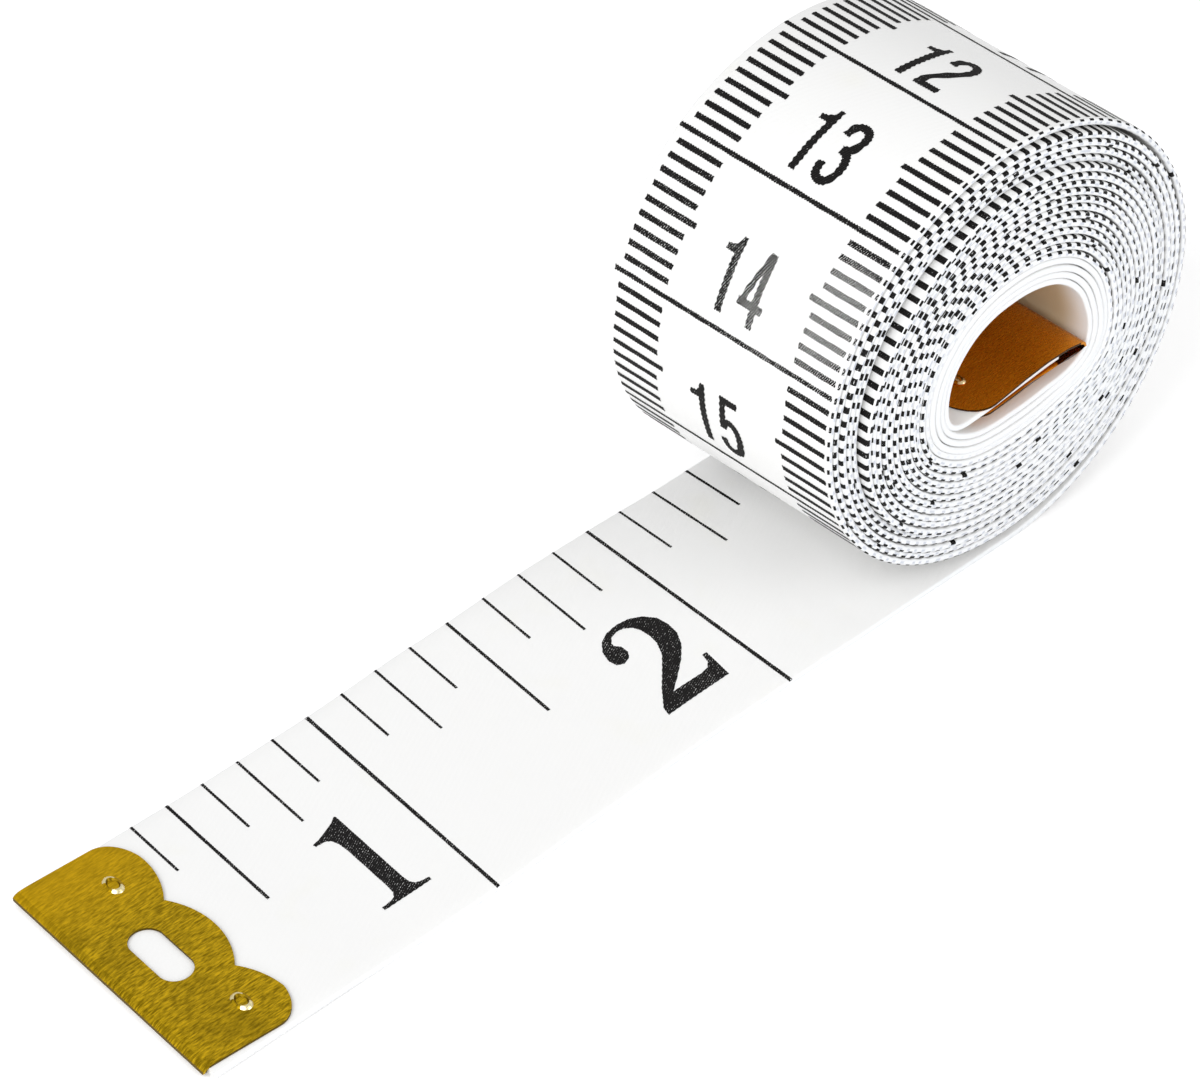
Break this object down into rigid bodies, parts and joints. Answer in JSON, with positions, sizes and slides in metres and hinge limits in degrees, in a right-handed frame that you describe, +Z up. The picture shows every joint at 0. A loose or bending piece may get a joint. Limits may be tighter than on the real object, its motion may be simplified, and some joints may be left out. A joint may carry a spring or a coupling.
{
  "type": "tailor's tape measure",
  "caption": "Soft cloth tape measure wound into a standing roll, its first length drawn out flat, with a folded brass tip on each end.",
  "frame": {"origin": "on the rest plane, straight below the middle of the roll, halfway across the tape", "axes": "+X along the flat tape from its free end to the roll, +Y along the roll's axis, +Z up"},
  "size_m": [0.0853, 0.02, 0.0318],
  "materials": {
    "coat": "soft white plastic coat with a faint weave",
    "web": "woven glass-fibre web",
    "outer_brass": "bright brass with fine scratches along the tape",
    "inner_brass": "glossy brass, darker in the shade of the core",
    "ink": "printed black ink broken by the weave"
  },
  "bodies": {
    "roll": {"wound_tape": "coat"},
    "near_lead": {"lead_near_centimetre_coat": "coat", "lead_near_glass_web": "web", "lead_near_inch_coat": "coat"},
    "middle_lead": {"lead_middle_centimetre_coat": "coat", "lead_middle_glass_web": "web", "lead_middle_inch_coat": "coat"},
    "outer_lead": {"lead_outer_centimetre_coat": "coat", "lead_outer_glass_web": "web", "lead_outer_inch_coat": "coat", "outer_tip": "outer_brass"},
    "inner_end": {"inner_end_centimetre_coat": "coat", "inner_end_glass_web": "web", "inner_end_inch_coat": "coat", "inner_tip": "inner_brass"}
  },
  "joints": [
    {"name": "near_bend", "type": "hinge", "parent": "roll", "child": "near_lead", "pos_m": [-0.02015, 0, 0.0005], "axis": [0, 1, 0], "range_deg": [0, 45]},
    {"name": "middle_bend", "type": "hinge", "parent": "near_lead", "child": "middle_lead", "pos_m": [-0.03605, 0, 0.0005], "axis": [0, 1, 0], "range_deg": [0, 45]},
    {"name": "outer_bend", "type": "hinge", "parent": "middle_lead", "child": "outer_lead", "pos_m": [-0.05195, 0, 0.0005], "axis": [0, 1, 0], "range_deg": [0, 45]},
    {"name": "inner_end_bend", "type": "hinge", "parent": "roll", "child": "inner_end", "pos_m": [-0.00375, 0, 0.0133], "axis": [0, -1, 0], "range_deg": [0, 25]}
  ]
}
